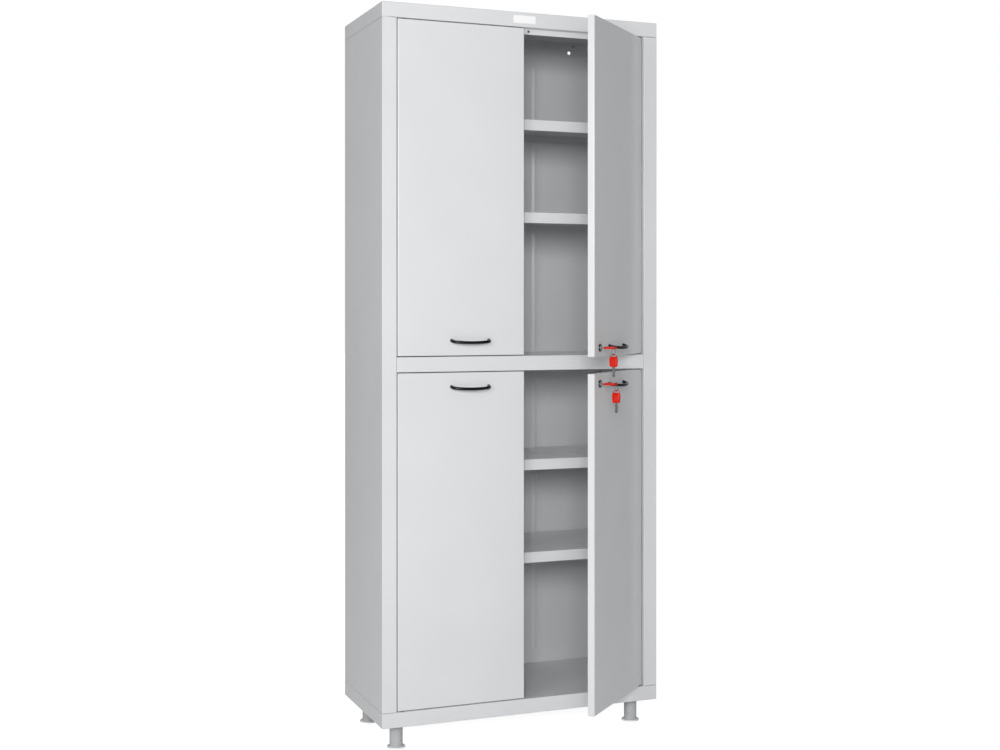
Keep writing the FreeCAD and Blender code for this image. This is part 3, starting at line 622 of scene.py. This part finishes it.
def domed_fasteners(node, tree, material):
    """Domed fasteners in place of a node's plain ones, one piece for each size found in it."""
    places = fastener_places(node)
    for index, wanted in enumerate(sorted({sizes for seat, axis, sizes in places})):
        alike = [(seat, axis) for seat, axis, sizes in places if sizes == wanted]
        mesh = bpy.data.meshes.new(node + "_points")
        mesh.from_pydata([seat for seat, axis in alike], [], [])
        axes = mesh.attributes.new("axis", "FLOAT_VECTOR", "POINT")
        for entry, (seat, axis) in zip(axes.data, alike):
            entry.vector = axis
        holder = bpy.data.objects.new(node + "_points", mesh)
        modifier = holder.modifiers.new("fasteners", "NODES")
        modifier.node_group = tree
        inputs = dict(zip(FASTENER_SIZES, wanted))
        inputs["Metal"] = material
        for item in tree.interface.items_tree:
            if item.in_out == "INPUT" and item.name in inputs:
                modifier[item.identifier] = inputs[item.name]
        heads = evaluated_mesh(holder)
        shade_smooth(heads)
        finish_piece(f"{node}_domed_{index}", heads, node)


fasteners = fastener_tree()
for node in ("carcass_rivets", "leg_screws"):
    domed_fasteners(node, fasteners, zinc)


def half_width_at(share):
    """Half width of a key head at a share of its length from the tip: round crown, then a slight taper."""
    half = HEAD_WIDTH / 2
    if share < CROWN_SHARE:
        return half * math.sqrt(max(0.0, 1 - (1 - share / CROWN_SHARE) ** 2)) ** CROWN_FULLNESS
    taper = 1 - (1 - FOOT_TAPER) * (share - CROWN_SHARE) / (1 - CROWN_SHARE)
    if share > 1 - FOOT_SHARE:
        corner = (share - 1 + FOOT_SHARE) / FOOT_SHARE
        taper *= FOOT_CORNER_WIDTH + (1 - FOOT_CORNER_WIDTH) * math.sqrt(max(0.0, 1 - corner ** 2))
    return half * taper


def outline_reach(angle):
    """Distance from the slot's middle to the head's edge; angle 0 is across, a quarter turn is to the tip."""
    low = 0.0
    high = HEAD_LENGTH
    for _ in range(SEARCH_STEPS):
        reach = (low + high) / 2
        across = abs(reach * math.cos(angle))
        along = SLOT_MIDDLE - reach * math.sin(angle)
        inside = 0 <= along <= HEAD_LENGTH and across <= half_width_at(along / HEAD_LENGTH)
        low, high = (reach, high) if inside else (low, reach)
    return low


def slot_reach(angle):
    """Distance from the slot's middle to its wall."""
    straight = (SLOT_LENGTH - SLOT_WIDTH) / 2
    radius = SLOT_WIDTH / 2
    to_side = radius / max(LEAST_SINE, abs(math.sin(angle)))
    if to_side * abs(math.cos(angle)) <= straight:
        return to_side
    lean = straight * abs(math.cos(angle))
    return lean + math.sqrt(max(0.0, radius ** 2 - (straight * math.sin(angle)) ** 2))


def ring_of_points(head, angles, reaches, height):
    """Points round the slot's middle, each at its own distance, all at one height."""
    ring = []
    for angle, reach in zip(angles, reaches):
        place = (reach * math.cos(angle), SLOT_MIDDLE - reach * math.sin(angle), height)
        ring.append(head.verts.new(place))
    return ring


def key_head_mesh(name):
    """Moulded head with a slot for the ring: tip at the origin, length along +Y, edges rounded."""
    half = HEAD_THICKNESS / 2
    angles = [2 * math.pi * index / HEAD_POINTS for index in range(HEAD_POINTS)]
    edges = [outline_reach(angle) for angle in angles]
    walls = [slot_reach(angle) for angle in angles]
    outer_rings = list(HEAD_PROFILE) + [(inset, -level) for inset, level in reversed(HEAD_PROFILE)]
    slot_rings = [(spread, -level) for spread, level in SLOT_PROFILE] + list(reversed(SLOT_PROFILE))
    head = bmesh.new()
    rings = []
    for inset, level in outer_rings:
        reaches = [max(edge - inset, min(edge, wall + LEAST_WALL)) for edge, wall in zip(edges, walls)]
        rings.append(ring_of_points(head, angles, reaches, level * half))
    for spread, level in slot_rings:
        reaches = [wall + spread for wall in walls]
        rings.append(ring_of_points(head, angles, reaches, level * half))
    for row, near in enumerate(rings):
        far = rings[(row + 1) % len(rings)]
        for index in range(HEAD_POINTS):
            step = (index + 1) % HEAD_POINTS
            head.faces.new((near[index], near[step], far[step], far[index]))
    bmesh.ops.recalc_face_normals(head, faces=head.faces)
    mesh = mesh_from(head, name)
    shade_smooth(mesh)
    return mesh


def key_blade_mesh(name, length):
    """Flat blade with bits cut into one edge, starting inside the head and running along +Y."""
    half = BLADE_WIDTH / 2
    start = HEAD_LENGTH - BLADE_OVERLAP
    end = HEAD_LENGTH + length
    shoulder = end - BLADE_TIP
    outline = [(-half, start), (half, start)]
    along = HEAD_LENGTH + BIT_START
    for depth in BIT_DEPTHS_MM:
        if along + BIT_PITCH > shoulder:
            break
        outline.append((half, along))
        for share in BIT_FLOOR:
            outline.append((half - depth * MM, along + BIT_PITCH * share))
        along += BIT_PITCH
    outline += [(half, min(along, shoulder)), (half / 2, end), (-half / 2, end), (-half, shoulder)]
    blade = bmesh.new()
    face = blade.faces.new([blade.verts.new((x, y, -BLADE_THICKNESS / 2)) for x, y in outline])
    swept = bmesh.ops.extrude_face_region(blade, geom=[face])
    raised = [item for item in swept["geom"] if isinstance(item, bmesh.types.BMVert)]
    bmesh.ops.translate(blade, verts=raised, vec=(0, 0, BLADE_THICKNESS))
    bmesh.ops.recalc_face_normals(blade, faces=blade.faces)
    return mesh_from(blade, name)


def lock_frame(level):
    """Turn of the right-hand door about the upright, read from its lock's axis, and the lock's place."""
    for motion in frame["record"]["behaviour"]["joints"]:
        if motion["name"] == f"{level}_lock_turn":
            axis = Vector(motion["axis"])
            return Matrix.Rotation(math.atan2(-axis.x, axis.y), 4, "Z"), Vector(motion["pos_m"])
    raise KeyError(level)


def place_keys(level):
    """Red-headed key in the lock and its spare on the ring, where the CAD keys are."""
    turn, lock_place = lock_frame(level)
    outward = turn.to_3x3() @ Vector((0, -1, 0))
    key_box = [Vector(corner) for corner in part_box(f"{level}_lock_key")]
    ring_box = [Vector(corner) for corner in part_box(f"{level}_key_ring")]
    spare_box = [Vector(corner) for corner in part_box(f"{level}_spare_key")]

    # The key in the lock points straight into the door
    key_points = frame["nodes"][f"{level}_lock_key"].data.vertices
    distances = [(point.co - lock_place).dot(outward) for point in key_points]
    key_height = (key_box[0].z + key_box[1].z) / 2
    tip = Vector((lock_place.x, lock_place.y, key_height)) + outward * max(distances)
    in_lock = Matrix.Translation(tip) @ turn

    # The spare hangs from the ring, edge on to the door
    ring_middle = (ring_box[0] + ring_box[1]) / 2
    stand = turn @ Matrix.Rotation(QUARTER_TURN, 4, "Z") @ Matrix.Rotation(-QUARTER_TURN, 4, "X")
    hanging = Matrix.Translation((ring_middle.x, ring_middle.y, spare_box[1].z)) @ stand

    keys = (
        (f"{level}_lock_key", in_lock, max(distances) - min(distances)),
        (f"{level}_spare_key", hanging, spare_box[1].z - spare_box[0].z),
    )
    for node, place, length in keys:
        head = key_head_mesh(node + "_head")
        head.transform(place)
        head.materials.append(red_plastic)
        finish_piece(node + "_red_head", head, node)
        blade = key_blade_mesh(node + "_blade", length - HEAD_LENGTH)
        blade.transform(place)
        blade.materials.append(key_metal)
        finish_piece(node + "_cut_blade", blade, node)


for level in LEVELS:
    place_keys(level)


def seen_directly(tree):
    """1 on camera rays, 0 on the rays that light the object or are mirrored in it."""
    return add(tree, "ShaderNodeLightPath").outputs["Is Camera Ray"]


def make_floor():
    """Plain pale floor that shows as white and keeps the cabinet's shadow."""
    mesh = bpy.data.meshes.new("floor")
    reach = FLOOR_REACH
    corners = [(-reach, -reach, 0), (reach, -reach, 0), (reach, reach, 0), (-reach, reach, 0)]
    mesh.from_pydata(corners, [], [(0, 1, 2, 3)])
    floor = bpy.data.objects.new("floor", mesh)
    bpy.context.scene.collection.objects.link(floor)
    material = bpy.data.materials.new("pale_floor")
    tree = cleared_tree(material)
    matt = add(tree, "ShaderNodeBsdfDiffuse", {"Color": linear(FLOOR_WHITE)})
    glow = add(tree, "ShaderNodeEmission", {"Color": LIGHT_WHITE, "Strength": FLOOR_GLOW})
    lit = add(tree, "ShaderNodeMixShader", links={0: seen_directly(tree), 2: glow.outputs[0]})
    both = add(tree, "ShaderNodeAddShader", links={0: matt.outputs[0], 1: lit.outputs[0]})
    add(tree, "ShaderNodeOutputMaterial", links={"Surface": both.outputs[0]})
    mesh.materials.append(material)


def make_world():
    """White studio all round, dimmer as a light than as a background."""
    world = bpy.data.worlds.new("studio")
    tree = cleared_tree(world)
    ambient = add(tree, "ShaderNodeBackground", {"Color": LIGHT_WHITE, "Strength": AMBIENT})
    white = add(tree, "ShaderNodeBackground", {"Color": LIGHT_WHITE, "Strength": 1.0})
    mixed = add(
        tree, "ShaderNodeMixShader",
        links={0: seen_directly(tree), 1: ambient.outputs[0], 2: white.outputs[0]},
    )
    add(tree, "ShaderNodeOutputWorld", links={"Surface": mixed.outputs[0]})
    bpy.context.scene.world = world


def make_softbox(name, place, target, size, level):
    """Square lamp that lights a white card at the target to the given level."""
    data = bpy.data.lights.new(name, "AREA")
    away = Vector(target) - Vector(place)
    data.energy = level * math.pi ** 2 * away.length_squared
    data.shape = "SQUARE"
    data.size = size
    lamp = bpy.data.objects.new(name, data)
    lamp.location = place
    lamp.rotation_euler = away.to_track_quat("-Z", "Y").to_euler()
    bpy.context.scene.collection.objects.link(lamp)


def make_camera():
    """Level camera at the photograph's place."""
    data = bpy.data.cameras.new("photo_camera")
    data.sensor_width = SENSOR_WIDTH
    data.lens = FOCAL_PIXELS / PICTURE_SIZE[0] * SENSOR_WIDTH
    data.shift_y = (HORIZON_PIXEL - PICTURE_SIZE[1] / 2) / PICTURE_SIZE[0]
    camera = bpy.data.objects.new("photo_camera", data)
    camera.location = CAMERA_PLACE
    camera.rotation_euler = (QUARTER_TURN, 0, -math.radians(CAMERA_YAW_DEG))
    bpy.context.scene.collection.objects.link(camera)
    bpy.context.scene.camera = camera


# Floor, light and camera
make_floor()
make_world()
for name, (place, size, level) in LAMPS.items():
    make_softbox(name, place, LAMP_TARGET, size, level)
make_camera()
bpy.context.scene.view_settings.view_transform = "Standard"
